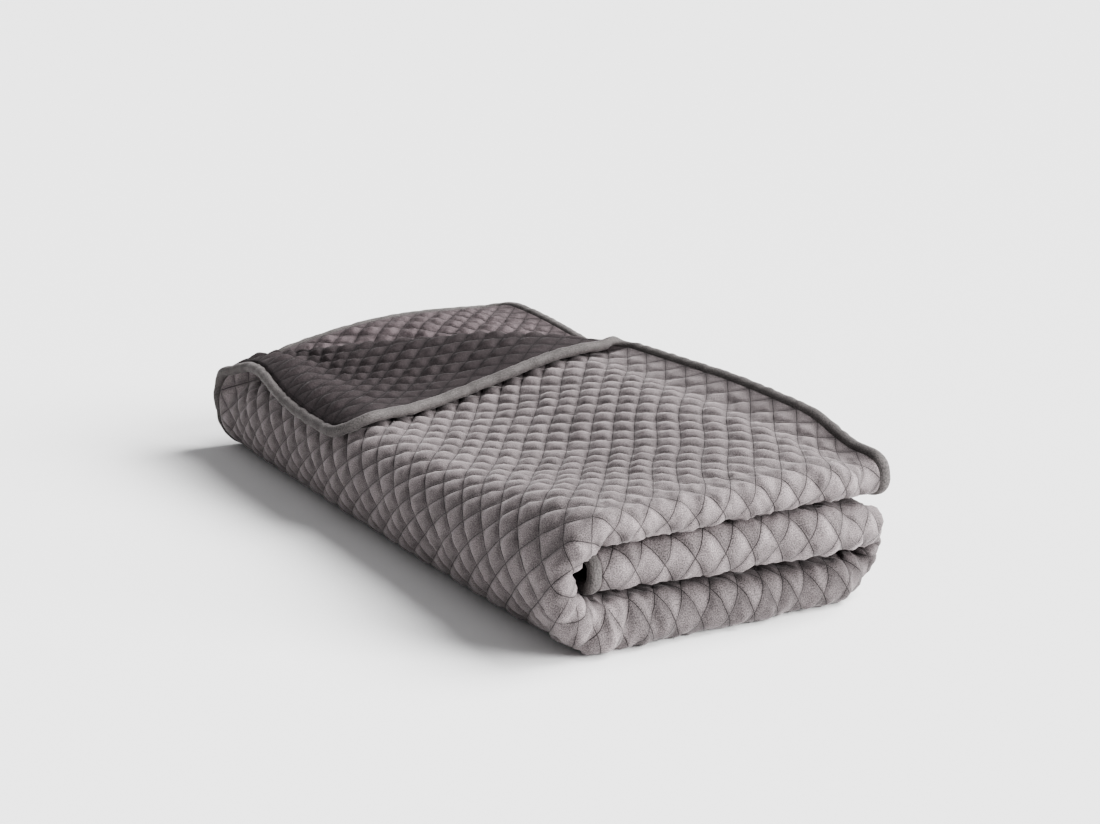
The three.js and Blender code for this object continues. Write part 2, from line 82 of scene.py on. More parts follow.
# Stretches of the folded section, measured along u
TOP_ARM = 350.0
LEFT_FOLD = 180.0
BOTTOM_ARM = 309.0
RIGHT_FOLD = 150.0
LEFT_FOLD_START = TOP_ARM
BOTTOM_START = LEFT_FOLD_START + LEFT_FOLD
RIGHT_FOLD_START = BOTTOM_START + BOTTOM_ARM
MIDDLE_START = RIGHT_FOLD_START + RIGHT_FOLD
MIDDLE_ARM = PANEL_WIDTH - MIDDLE_START
LEFT_AXIS = 32.0
RIGHT_AXIS = LEFT_AXIS + BOTTOM_ARM

# The front fold takes up this much of v
FRONT_FOLD = 1.5 * PITCH_ALONG
OUTER_END = (PANEL_LENGTH - FRONT_FOLD) / 2
INNER_START = OUTER_END + FRONT_FOLD
# The bend of the front fold bulges forward by a fixed part and a share of its own half-height, and it is
# squarer than a circle. Its ratio is about how far it reaches forward for its half-height.
FRONT_BULGE = dict(base=16, share=0.5)
NOSE_SQUARENESS = 2.6
NOSE_RATIO = 1.2
NOSE_SAMPLES = 257
# The layers settle to their heights in the body over this distance behind the front fold
SETTLING = 330.0
# Below its middle the wide fold bulges out more than a ring would, behind the front fold
WRAP_FULLNESS = 0.65

# Height of the middle of each layer: at the free-edge side and the wide-fold side, at the front fold and
# in the body of the stack behind it. bow lifts the layer halfway across, at the front fold only.
LAYERS = {
    "outer": {
        "top": dict(front_right=162, front_left=147, body_right=177, body_left=119, bow=0),
        "middle": dict(front_right=109, front_left=103, body_right=106, body_left=77, bow=6),
        "bottom": dict(front_right=4, front_left=4, body_right=4, body_left=4, bow=0),
    },
    "inner": {
        "top": dict(front_right=131, front_left=122, body_right=153, body_left=96, bow=1),
        "middle": dict(front_right=72, front_left=67, body_right=76, body_left=59, bow=-1),
        "bottom": dict(front_right=41, front_left=48, body_right=38, body_left=40, bow=3),
    },
}
# Half-widths of the rounded folds, at the front and in the body
FOLD_WIDTHS = {
    "outer": dict(left_front=60, left_body=57, right_front=55, right_body=50),
    "inner": dict(left_front=40, left_body=26, right_front=38, right_body=20),
}

# The free edge of the top arm sinks where it runs into the front fold
EDGE_DROOP = dict(across=90, along=150, outer=14, inner=6)
# The free edge curls up, so that its binding stands above the cloth
EDGE_CURL = dict(across=38, outer=12, inner=6)
# The inner layer arches up behind the turned-back corner, and its free edge is drawn forward and out
BACK_ARCH = dict(edge=24, middle=23, across=430, fade_start=300, fade_end=400, reach=1.2, margin=15)
BACK_EDGE = dict(across=345, pull=40, out=30, out_along=650)
# The shoulder of the wide fold sinks at the back end
BACK_SAG = dict(start=200, depth=12, along=170)
# The wide fold of the outer layer is narrower at the back end
BACK_NARROWING = dict(width=6, along=130)
# Below the turned-back corner the wide fold flares out to its back edge
BACK_FLARE = dict(width=9, along=45, start=370, full=435, full_end=450, end=530)

# The front fold sits back a little at the free edges and round the right-hand fold. There the top arm's free
# edge is drawn in too, and the middle arm reaches further by a share of its length.
TOP_RECESS = dict(across=90, depth=14, inward=12)
MIDDLE_RECESS = 20.0
MIDDLE_STRETCH = 0.08
RIGHT_RECESS = 24.0
BOTTOM_RECESS = dict(left=12, right=24)

# The turned-back corner: the crease runs from a point on the free edge to a point on the back edge
CREASE_ON_EDGE = 470.0
CREASE_ON_BACK = 440.0
CREASE_LENGTH = math.hypot(CREASE_ON_EDGE, CREASE_ON_BACK)
CREASE_U = CREASE_ON_EDGE / CREASE_LENGTH
CREASE_V = CREASE_ON_BACK / CREASE_LENGTH
CREASE_OFFSET = CREASE_ON_BACK * CREASE_U
# Radius of the crease's loop, and the shares of the way along it where that changes
LOOP_RADIUS = dict(edge=9, middle=15, back=13)
LOOP_STRETCH = dict(edge_end=0.35, back_start=0.6)
# How high the turned-back corner rests on the cloth under it, and the distance over which it comes to rest
FLAP_REST = 17.5
FLAP_SETTLING = 130.0
# On the side of the wide fold the turned-back corner leans up rather than out: at its loop and where it rests
FLAP_LEAN = dict(loop=0.6, rest=0.4)
# Where the corner goes for each millimetre that it is turned back, along u and v
FLAP_HEADING = dict(u=0.585, v=0.865)
# Along its left side the turned-back corner is drawn in over the shoulder and stands off it. The peak is the
# distance past the crease where both are greatest.
FLAP_BOW = dict(peak=80, inward=36, inward_along=160, lift=8, lift_along=90)
# The outer layer rises under the crease, from a distance in front of it
FLAP_RISE = dict(height=11, full_from=220, fade_start=270, fade_end=390, along=180)

# Step in u and v over which a surface's slope is measured
SLOPE_STEP = 0.5

# Mesh spacing: a diamond is this many units across and along, and cells double in size up to the root cell
UNITS = 10
COLUMNS = DIAMONDS_ACROSS * UNITS
ROWS = DIAMONDS_ALONG * UNITS
ROOT_LEVEL = 3
# Largest cell, in units: in cloth that is shown, in the underside and the right-hand fold, in hidden bends
# and in other hidden cloth. LOOP_REACH is how far from the crease and the edges beside it cells stay fine.
SHOWN = 1
UNDERSIDE = 2
BEND = 4
HIDDEN = 8
LOOP_REACH = 60.0

# Fine wrinkles in the cloth, and how far its stitch lines wander: waves drawn at random, in millimetres.
# Pinches run off the stitch lines by a share of a diamond. The reverse is smoother where it is turned over.
WRINKLE_WAVES = 26
WRINKLE_LENGTHS = (11.0, 34.0)
WRINKLE_HEIGHT = dict(light=0.3, turned=0.28, reverse=0.6)
PINCH_HEIGHT = dict(light=0.18, turned=0.2, reverse=0.6)
PINCH_REACH = 0.16
PINCHES_IN_DIAMOND = 2.5
WANDER_WAVES = 16
WANDER_LENGTHS = (120.0, 360.0)
WANDER = 1.2
# On the front fold the stitch lines wander more and the cloth is more wrinkled, by these factors
WANDER_ON_NOSE = 2.2
WRINKLE_ON_NOSE = 2.8

# Main creases of each face: where the middle of one lies on the flat panel, its heading from the u axis in
# degrees, its length, half-width and height, below 0 for a trough, and how far it curves over its length
CREASE_COLUMNS = ("u", "v", "heading", "length", "width", "height", "curve")
LIGHT_CREASES = [
    # the hollow in front of the turned-back corner, and soft waves in the top
    (210, 512, 0, 430, 34, -3.0, 14),
    (120, 640, 24, 300, 70, 1.4, 25),
    (255, 760, -18, 260, 60, -1.4, -20),
    (90, 820, 62, 240, 50, -1.2, 12),
    # the hollow beside the binding of the free edge
    (42, 720, 90, 760, 18, -4.0, 0),
    # the wide fold on the left
    (430, 250, 78, 120, 30, -3.0, 10),
    (455, 420, 96, 140, 34, 2.5, -12),
    (440, 560, 70, 150, 26, -3.0, 8),
    (470, 720, 104, 130, 32, -2.5, 10),
    (400, 850, 35, 150, 24, -3.0, -14),
    (480, 930, 60, 120, 20, -3.5, 10),
    # the front of the wide fold, round its hole
    (362, 1048, 64, 90, 8, -5.5, 8),
    (392, 1030, 96, 80, 10, 3.5, 6),
    (425, 1046, 78, 70, 6, -4.5, -5),
    (470, 1040, 102, 90, 6, -5.0, 6),
    (490, 1020, 40, 60, 5, -3.5, 5),
    (506, 1036, 80, 96, 5, -5.0, -8),
    (528, 1040, 98, 84, 5, 3.5, 5),
    (548, 1026, 74, 96, 5, -5.0, 8),
    (566, 1016, 130, 60, 4, -3.0, -4),
    (584, 1036, 108, 84, 6, -4.0, -6),
    (612, 1024, 58, 70, 6, -3.0, 6),
    # the three noses of the front fold
    (300, 1040, 116, 80, 14, -3.0, 6),
    (205, 1042, 68, 84, 15, -2.5, -8),
    (110, 1036, 112, 90, 16, -3.0, 8),
    (55, 1030, 62, 76, 12, 2.5, -5),
    (640, 1030, 66, 90, 18, -2.5, 8),
    (720, 1036, 112, 96, 20, 2.5, -8),
    (775, 1030, 62, 90, 15, -3.0, 6),
    (1235, 1036, 70, 80, 13, -3.0, 6),
    (1160, 1030, 114, 90, 18, 2.5, -8),
    (1090, 1040, 66, 90, 16, -3.0, 8),
    (1035, 1030, 118, 90, 14, 3.0, -6),
    # the fold on the right, pinched in
    (1008, 1024, 74, 110, 9, -5.0, 6),
    (985, 1036, 98, 100, 8, -5.0, -6),
    (955, 1030, 84, 110, 9, 3.0, 5),
    (925, 1040, 100, 100, 9, -6.0, -4),
    (880, 1036, 76, 110, 10, -5.0, 6),
    (850, 1030, 104, 96, 9, -3.5, -5),
]
# On the reverse, the turned-back corner and the inner layer that shows behind it
REVERSE_CREASES = [
    (210, 60, 8, 300, 26, -3.0, 14),
    (120, 150, 64, 220, 30, 3.0, -16),
    (60, 260, 80, 240, 24, -3.0, 10),
    (290, 40, 150, 120, 14, -3.0, 8),
    (60, 1960, 40, 160, 14, -3.0, 8),
    (150, 1985, 120, 130, 12, 2.5, -6),
    (230, 2010, 60, 120, 10, -3.0, 6),
]

# Binding: how far its middle lies outside the panel's edge, its half-width and half-height, and its mesh
BINDING_CENTRE = 6.2
BINDING_WIDTH = 7.8
BINDING_HEIGHT = 6.8
BINDING_STEP = 4.0
BINDING_SIDES = 24
BINDING_SQUARENESS = 2.3
# Its seam, by the angle round its section, and its puckers, both as shares of its size
BINDING_SEAM_ANGLE = math.radians(128)
BINDING_SEAM_WIDTH = 0.2
BINDING_SEAM_DEPTH = 0.09
BINDING_PUCKER = dict(share=0.035, waves=18, shortest=14.0, longest=60.0, twist=2)
# The lowest that it comes to the floor
BINDING_FLOOR = 0.2
# The binding is squeezed where the free edge turns over at the crease
BINDING_SQUEEZE = dict(share=0.35, past=18, along=20)

# Surface of the cloth and the floor, and the colours of the pile and of its sheen
ROUGHNESS = 0.85
SPECULAR = 0.2
LIGHT_PILE = (0.195, 0.171, 0.173, 1.0)
REVERSE_PILE = (0.04, 0.0325, 0.034, 1.0)
BINDING_PILE = (0.105, 0.097, 0.095, 1.0)
SHEEN_TINT = (0.95, 0.9, 0.9, 1.0)
SHEEN = dict(light=0.35, reverse=0.06, binding=0.25, roughness=0.3)
# Mottling of the pile: features in a metre, detail, roughness, and the least and most of the colour left
GRAIN = dict(scale=850, detail=2, roughness=0.6, low=0.5, high=1.5)
CRUSH = dict(scale=38, detail=3, roughness=0.55, low=0.86, high=1.14)
CLOUDS = dict(scale=9, detail=2, roughness=0.5, low=0.95, high=1.05)
CRINKLE = dict(scale=160, detail=3, roughness=0.6)
NOISE_LOW = 0.3
NOISE_HIGH = 0.7
BINDING_GRAIN = dict(scale=600, detail=3, roughness=0.7, low=0.55, high=1.45)
BINDING_CRUSH = dict(scale=45, detail=3, roughness=0.55, low=0.86, high=1.14)
# Bump: depth in metres and strength
GRAIN_BUMP = dict(distance=0.0006, strength=0.5)
CRINKLE_BUMP = dict(distance=0.0012, strength=0.5)
STITCH_BUMP = dict(distance=0.0012, strength=0.6)
CRUSH_BUMP = dict(distance=0.0015, strength=0.4)
# A stitch line and the hollow beside it, as shares of a diamond, and how much darker they are. The stitch
# line is the dark thread; the darkening of the hollow is painted shade.
STITCH_LINE = dict(start=0.006, end=0.026, darker=0.7)
PAINTED_HOLLOW_SHADE = dict(start=0.0, end=0.25, darker=0.28)
BINDING_SEAM = dict(start=0.05, end=0.45, darker=0.4)
# Painted shade on the puffs, standing for pile that leans along v: a puff is made darker where it falls off
# that way, in full at this slope over this step
PAINTED_SLOPE_STEP = 2.0
PAINTED_SLOPE_FULL = 0.6
PAINTED_SLOPE_SHADE = dict(light=0.4, reverse=0.25)
# Painted light: the inner layer's reverse is made lighter. Painted shade: the bottom arm and the right-hand
# fold are made darker, with a soft change at their ends.
PAINTED_LIGHT_ON_REVERSE = 2.4
PAINTED_SHADE_ON_BOTTOM = 0.62
PAINTED_SHADE_CHANGE = 60.0
# The reverse takes its texture this far away, in metres, so that it differs from the light face
REVERSE_TEXTURE_SHIFT = 5.0

# Camera, in stack coordinates: where the photograph was taken from
CAMERA_PLACE = (-841.9, -1489.3, 651.8)
CAMERA_AZIMUTH = math.radians(28.67)
CAMERA_ELEVATION = math.radians(13.08)
CAMERA_LENS = 58.97
CAMERA_SENSOR = 36.0

# Floor, in metres, and light: each sun's name, the way its light travels, its spread in degrees and strength
FLOOR_SIZE = 2000.0
FLOOR_COLOUR = (0.97, 0.97, 0.97, 1.0)
SUNS = [
    ("key", (-0.6, 0.15, -0.68), 40.0, 5.4),
    ("front", (-0.6, 0.7, -0.38), 30.0, 5.6),
]
SKY_COLOUR = (0.86, 0.86, 0.87, 1.0)
SKY_STRENGTH = 0.36
PICTURE_LOOK = "AgX - Medium High Contrast"


def smooth(value):
    share = np.clip(value, 0.0, 1.0)
    return share * share * (3.0 - 2.0 * share)


def ramp(value, start, end):
    """A smooth change from 0 at the start to 1 at the end."""
    return smooth((value - start) / (end - start))


def mix(a, b, share):
    return a + (b - a) * share


def unit(vectors):
    return vectors / np.linalg.norm(vectors, axis=1)[:, None]


def squared(wave, squareness):
    """A sine or cosine bent so that its ring is squarer than a circle."""
    return np.sign(wave) * np.abs(wave) ** (2.0 / squareness)


def settled(y):
    """Share of the way from the front fold to the settled body of the stack."""
    return smooth(y / SETTLING)


def arm_height(arm, y, across):
    """Height of one arm of one layer at a share across, 0 at the wide fold and 1 at the free-edge side."""
    body = settled(y)
    left = mix(arm["front_left"], arm["body_left"], body)
    right = mix(arm["front_right"], arm["body_right"], body)
    share = np.clip(across, 0.0, 1.0)
    rise = (1.0 - np.cos(np.pi * share)) / 2.0
    return mix(left, right, rise) + arm["bow"] * (1.0 - body) * np.sin(np.pi * share)


def crease_depth(u):
    """How far in front of the back edge the crease of the turned-back corner runs."""
    return CREASE_ON_EDGE * np.clip(1.0 - u / CREASE_ON_BACK, 0.0, 1.0)


def at_back(y, along):
    """Share by which a place is at the back end, fading out over a distance in front of it."""
    return 1.0 - smooth((OUTER_END - y) / along)


def back_lift(u, y):
    """Share of the inner layer's arch that is reached, 0 under the turned-back corner and 1 at the back."""
    return at_back(y, BACK_ARCH["reach"] * crease_depth(u) + BACK_ARCH["margin"])


def back_arch(u, y):
    """How far the inner layer is raised at its back end."""
    arch = np.sin(np.pi * u / BACK_ARCH["across"]) ** 2
    fade = ramp(u, BACK_ARCH["fade_start"], BACK_ARCH["fade_end"])
    return (BACK_ARCH["edge"] + BACK_ARCH["middle"] * arch) * (1.0 - fade) * back_lift(u, y)


def back_sag(u, y):
    """How far the shoulder of the wide fold has sunk at the back end."""
    across = ramp(u, BACK_SAG["start"], LEFT_FOLD_START)
    round_fold = (1.0 + np.cos(np.pi * np.clip((u - LEFT_FOLD_START) / LEFT_FOLD, 0.0, 1.0))) / 2.0
    return BACK_SAG["depth"] * across * round_fold * at_back(y, BACK_SAG["along"])


def flap_rise(u, y):
    """How far the outer layer is raised under the crease of the turned-back corner."""
    fade = ramp(u, FLAP_RISE["fade_start"], FLAP_RISE["fade_end"])
    across = smooth(u / FLAP_RISE["full_from"]) * (1.0 - fade)
    before = OUTER_END - crease_depth(u) - y
    return FLAP_RISE["height"] * across * (1.0 - smooth(before / FLAP_RISE["along"]))


def back_flare(u, y):
    """How far the wide fold flares out below the turned-back corner."""
    above = ramp(u, BACK_FLARE["start"], BACK_FLARE["full"])
    below = ramp(u, BACK_FLARE["end"], BACK_FLARE["full_end"])
    return BACK_FLARE["width"] * above * below * at_back(y, BACK_FLARE["along"])


def edge_shift(name, u, y):
    """How far the top arm moves out, back and up, by its free edge, the front fold and the back end."""
    front = 1.0 - smooth(y / EDGE_DROOP["along"])
    droop = EDGE_DROOP[name] * (1.0 - smooth(u / EDGE_DROOP["across"])) * front
    recess = TOP_RECESS["depth"] * (1.0 - smooth(u / TOP_RECESS["across"])) * front
    out = -TOP_RECESS["inward"] / TOP_RECESS["depth"] * recess
    curl = EDGE_CURL[name] * np.clip(1.0 - u / EDGE_CURL["across"], 0.0, None) ** 2
    if name == "outer":
        return out, recess, curl - droop - back_sag(u, y) + flap_rise(u, y)
    curl = curl * back_lift(u, y)
    at_edge = 1.0 - smooth(u / BACK_EDGE["across"])
    out += BACK_EDGE["out"] * at_edge * at_back(y, BACK_EDGE["out_along"])
    return out, recess - BACK_EDGE["pull"] * at_edge * back_lift(u, y), back_arch(u, y) + curl - droop


def section(name, u, y):
    """Points on the section of one layer, y behind the front fold."""
    layer = LAYERS[name]
    widths = FOLD_WIDTHS[name]
    body = settled(y)
    across = 1.0 - u / TOP_ARM
    out, back, up = edge_shift(name, u, y)
    top = (LEFT_AXIS + TOP_ARM * across + out, y + back, arm_height(layer["top"], y, across) + up)

    turn = np.pi * (u - LEFT_FOLD_START) / LEFT_FOLD
    high = arm_height(layer["top"], y, np.zeros_like(u))
    low = arm_height(layer["bottom"], y, np.zeros_like(u))
    width = mix(widths["left_front"], widths["left_body"], body)
    if name == "outer":
        narrowing = BACK_NARROWING["width"] * at_back(y, BACK_NARROWING["along"])
        width = width - narrowing + back_flare(u, y)
    raised = back_arch(u, y) if name == "inner" else flap_rise(u, y) - back_sag(u, y)
    recess = BOTTOM_RECESS["left"] * (1.0 - np.cos(turn)) / 2 * (1.0 - body)
    left_z = (high + low) / 2 + (high - low) / 2 * np.cos(turn) + raised
    bulge = np.clip(np.sin(turn), 0.0, 1.0)
    bulge = np.where(turn > np.pi / 2, bulge ** mix(1.0, WRAP_FULLNESS, body), bulge)
    left = (LEFT_AXIS - width * bulge, y + recess, left_z)

    run = u - BOTTOM_START
    recess = mix(BOTTOM_RECESS["left"], BOTTOM_RECESS["right"], run / BOTTOM_ARM) * (1.0 - body)
    bottom = (LEFT_AXIS + run, y + recess, arm_height(layer["bottom"], y, run / BOTTOM_ARM))

    turn = np.pi * (u - RIGHT_FOLD_START) / RIGHT_FOLD
    high = arm_height(layer["middle"], y, np.ones_like(u))
    low = arm_height(layer["bottom"], y, np.ones_like(u))
    width = mix(widths["right_front"], widths["right_body"], body)
    recess = RIGHT_RECESS * np.sin(turn) + BOTTOM_RECESS["right"] * (1.0 + np.cos(turn)) / 2
    right_z = (high + low) / 2 - (high - low) / 2 * np.cos(turn)
    right = (RIGHT_AXIS + width * np.sin(turn), y + recess * (1.0 - body), right_z)

    run = u - MIDDLE_START
    recess = MIDDLE_RECESS * smooth(run / MIDDLE_ARM) * (1.0 - body)
    stretch = 1.0 + MIDDLE_STRETCH * (1.0 - body)
    middle_z = arm_height(layer["middle"], y, 1.0 - run / MIDDLE_ARM)
    middle = (RIGHT_AXIS - run * stretch, y + recess, middle_z)

    where = [u < LEFT_FOLD_START, u < BOTTOM_START, u < RIGHT_FOLD_START, u < MIDDLE_START]
    parts = (top, left, bottom, right)
    axes = [np.select(where, [part[k] for part in parts], middle[k]) for k in range(3)]
    return np.stack(axes, axis=-1)


def nose_table():
    """The front fold's bend as a squared half ring: share of its length, place up the ring and forward."""
    angle = np.linspace(0.0, np.pi, NOSE_SAMPLES)
    side = squared(np.cos(angle), NOSE_SQUARENESS)
    front = squared(np.sin(angle), NOSE_SQUARENESS)
    steps = np.hypot(np.diff(side), NOSE_RATIO * np.diff(front))
    run = np.concatenate([[0.0], np.cumsum(steps)])
    return run / run[-1], side, front


NOSE_TABLE = nose_table()


def nose_profile(share):
    run, side, front = NOSE_TABLE
    return np.interp(share, run, side), np.interp(share, run, front)


def stack_point(u, v):
    """The folded panel's middle surface before the corner is turned over."""
    outer = section("outer", u, np.where(v < OUTER_END, OUTER_END - v, 0.0))
    inner = section("inner", u, np.where(v > INNER_START, v - INNER_START, 0.0))
    side, front = nose_profile((v - OUTER_END) / FRONT_FOLD)
    spoke = (outer - inner) / 2
    bend = inner + spoke * (1.0 + side)[:, None]
    bend[:, 1] -= (FRONT_BULGE["base"] + FRONT_BULGE["share"] * np.linalg.norm(spoke, axis=1)) * front
    point = np.where((v < OUTER_END)[:, None], outer, bend)
    return np.where((v > INNER_START)[:, None], inner, point)


def normal_of(surface, u, v):
    """The outward normals of a surface given as a function of u and v."""
    across = surface(u + SLOPE_STEP, v) - surface(u - SLOPE_STEP, v)
    along = surface(u, v + SLOPE_STEP) - surface(u, v - SLOPE_STEP)
    return unit(np.cross(across, along))


def crease_place(u, v):
    """Distance past the crease of the turned-back corner, and the share of the way along it."""
    past = CREASE_OFFSET - u * CREASE_U - v * CREASE_V
    along = (u * CREASE_V - v * CREASE_U) / CREASE_LENGTH + CREASE_U**2
    return past, np.clip(along, 0.0, 1.0)


def loop_radius(along):
    """Radius of the crease's loop, by the share of the way along it."""
    edge = mix(LOOP_RADIUS["edge"], LOOP_RADIUS["middle"], smooth(along / LOOP_STRETCH["edge_end"]))
    return mix(edge, LOOP_RADIUS["back"], ramp(along, LOOP_STRETCH["back_start"], 1.0))


def is_turned(u, v):
    past, _ = crease_place(u, v)
    return (past > 0) & (v <= OUTER_END) & (u <= BOTTOM_START)


def in_loop(u, v):
    """Share by which a place is inside the loop of the crease, fading over half a diamond on either side."""
    past, along = crease_place(u, v)
    end = np.pi * loop_radius(along)
    share = 1.0 - smooth((np.abs(past - end / 2) - end / 2) / (PITCH_ACROSS / 2))
    return np.where((v <= OUTER_END) & (u <= BOTTOM_START), share, 0.0)


def flap_over(u, v):
    """Whether the turned-back corner lies over a place on the light face, its margin left out."""
    past, along = crease_place(u, v)
    rest = -past / (FLAP_HEADING["u"] * CREASE_U + FLAP_HEADING["v"] * CREASE_V)
    turned = rest + np.pi * loop_radius(along)
    from_u = u - turned * CREASE_U - rest * FLAP_HEADING["u"]
    from_v = v - turned * CREASE_V - rest * FLAP_HEADING["v"]
    return np.minimum(from_u, from_v) > LOOP_REACH


def panel_point(u, v):
    """The middle surface of the panel as it lies, the turned-back corner included."""
    point = stack_point(u, v)
    turned = is_turned(u, v)
    if not turned.any():
        return point
    u, v = u[turned], v[turned]
    past, along = crease_place(u, v)
    radius = loop_radius(along)
    turn = np.minimum(past / radius, np.pi)
    rest = np.maximum(past - np.pi * radius, 0.0)
    reach = radius * np.sin(turn) - rest
    loop_lift = radius * (1.0 - np.cos(turn))
    near_loop = np.exp(-rest / FLAP_SETTLING)
    lift = np.where(rest > 0, mix(FLAP_REST, loop_lift, near_loop), loop_lift)
    under_u = u + past * CREASE_U - reach * FLAP_HEADING["u"]
    under_v = v + past * CREASE_V - reach * FLAP_HEADING["v"]
    bow = (past / FLAP_BOW["peak"] * np.exp(1.0 - past / FLAP_BOW["peak"])) ** 2
    under_u -= FLAP_BOW["inward"] * bow * (1.0 - smooth(v / FLAP_BOW["inward_along"]))
    lift += FLAP_BOW["lift"] * bow * (1.0 - smooth(v / FLAP_BOW["lift_along"]))
    away = normal_of(stack_point, under_u, under_v)
    away[:, 2] += mix(FLAP_LEAN["rest"], FLAP_LEAN["loop"], near_loop) * (1.0 - np.abs(away[:, 2]))
    point[turned] = stack_point(under_u, under_v) + unit(away) * lift[:, None]
    return point


def round_corner(u, v):
    """Moves points near a corner of the rectangle on to the panel's rounded corner."""
    in_u = np.clip(u, CORNER_RADIUS, PANEL_WIDTH - CORNER_RADIUS)
    in_v = np.clip(v, CORNER_RADIUS, PANEL_LENGTH - CORNER_RADIUS)
    x = (u - in_u) / CORNER_RADIUS
    y = (v - in_v) / CORNER_RADIUS
    round_u = in_u + CORNER_RADIUS * x * np.sqrt(1.0 - y * y / 2)
    round_v = in_v + CORNER_RADIUS * y * np.sqrt(1.0 - x * x / 2)
    return round_u, round_v


def edge_fade(u, v):
    edge = np.minimum(np.minimum(u, v), np.minimum(PANEL_WIDTH - u, PANEL_LENGTH - v))
    return smooth(edge / PUFF_FADE)


def stitch_lines(u, v):
    """Place across each of the two sets of stitch lines, in lines."""
    return u / PITCH_ACROSS + v / PITCH_ALONG, u / PITCH_ACROSS - v / PITCH_ALONG


def face_name(side):
    return "light" if side > 0 else "reverse"


def table_place(place):
    """Where the diamond at a place among the stitch lines is in a table of draws."""
    return np.floor(place).astype(int) % DRAW_TABLE


def puff(u, v, side):
    """Padding between the stitch lines in millimetres, uneven from diamond to diamond."""
    rising, falling = stitch_lines(u, v)
    lines = np.abs(np.sin(np.pi * rising) * np.sin(np.pi * falling))
    face = face_name(side)
    draw = np.random.default_rng(SEEDS["puff_" + face])
    heights = 1.0 + PUFF_UNEVEN * draw.uniform(-1.0, 1.0, (DRAW_TABLE, DRAW_TABLE))
    uneven = heights[table_place(rising), table_place(falling)]
    return PUFF_HEIGHT[face] * uneven * lines ** PUFF_POWER[face] * edge_fade(u, v)


def slope_for_painted_shade(u, v, side):
    """How steeply the padding falls off along v, from -1 to 1, for the painted shade on the puffs."""
    fall = puff(u, v - PAINTED_SLOPE_STEP, side) - puff(u, v + PAINTED_SLOPE_STEP, side)
    return np.clip(fall / (2 * PAINTED_SLOPE_STEP * PAINTED_SLOPE_FULL), -1.0, 1.0)


def waves(u, v, draw, count, lengths):
    """A sum of waves drawn at random, about 1 high."""
    height = np.zeros_like(u)
    for _ in range(count):
        length = draw.uniform(*lengths)
        heading = draw.uniform(0.0, 2 * np.pi)
        phase = draw.uniform(0.0, 2 * np.pi)
        height += np.sin(2 * np.pi * (u * np.cos(heading) + v * np.sin(heading)) / length + phase)
    return height / math.sqrt(count / 2)


def on_nose(v):
    """Share by which a place is on the front fold, fading over a diamond on either side."""
    beyond = np.abs(v - (OUTER_END + INNER_START) / 2) - FRONT_FOLD / 2
    return 1.0 - smooth(beyond / PITCH_ALONG)


def wander(u, v):
    """Where a place on the even lattice of stitch lines really lies on the panel."""
    draw = np.random.default_rng(SEEDS["wander"])
    fade = WANDER * mix(1.0, WANDER_ON_NOSE, on_nose(v)) * edge_fade(u, v)
    moved_u = u + fade * waves(u, v, draw, WANDER_WAVES, WANDER_LENGTHS)
    moved_v = v + fade * waves(u, v, draw, WANDER_WAVES, WANDER_LENGTHS)
    return moved_u, moved_v


def by_face(heights, u, v, side):
    """The height for the light face, or on the reverse for its turned-over part and the rest."""
    if side > 0:
        return heights["light"]
    return np.where(is_turned(u, v), heights["turned"], heights["reverse"])


def wrinkle(u, v, side):
    """Small creases in millimetres: random waves, and pinches that run off the stitch lines."""
    draw = np.random.default_rng(SEEDS["wrinkle_" + face_name(side)])
    height = by_face(WRINKLE_HEIGHT, u, v, side) * waves(u, v, draw, WRINKLE_WAVES, WRINKLE_LENGTHS)
    pinch = by_face(PINCH_HEIGHT, u, v, side)
    rising, falling = stitch_lines(u, v)
    phases = draw.uniform(0.0, 2 * np.pi, (DRAW_TABLE, DRAW_TABLE))
    for near, run in ((rising, falling), (falling, rising)):
        line = np.round(near).astype(int)
        phase = phases[line % DRAW_TABLE, table_place(run)]
        off = np.abs(near - line) / PINCH_REACH
        height += pinch * np.sin(2 * np.pi * PINCHES_IN_DIAMOND * run + phase) * off * np.exp(1.0 - off)
    return height * mix(1.0, WRINKLE_ON_NOSE, on_nose(v)) * edge_fade(u, v)


def main_creases(u, v):
    """How far the listed creases move the cloth towards its light face."""
    height = np.zeros_like(u)
    for sign, row in [(1, row) for row in LIGHT_CREASES] + [(-1, row) for row in REVERSE_CREASES]:
        crease = dict(zip(CREASE_COLUMNS, row))
        heading = math.radians(crease["heading"])
        from_u, from_v = u - crease["u"], v - crease["v"]
        along = (from_u * math.cos(heading) + from_v * math.sin(heading)) / (crease["length"] / 2)
        across = from_v * math.cos(heading) - from_u * math.sin(heading) - crease["curve"] * along**2
        profile = np.exp(-((across / crease["width"]) ** 2)) * (1.0 - smooth(np.abs(along)))
        height += sign * crease["height"] * profile
    return height * edge_fade(u, v)


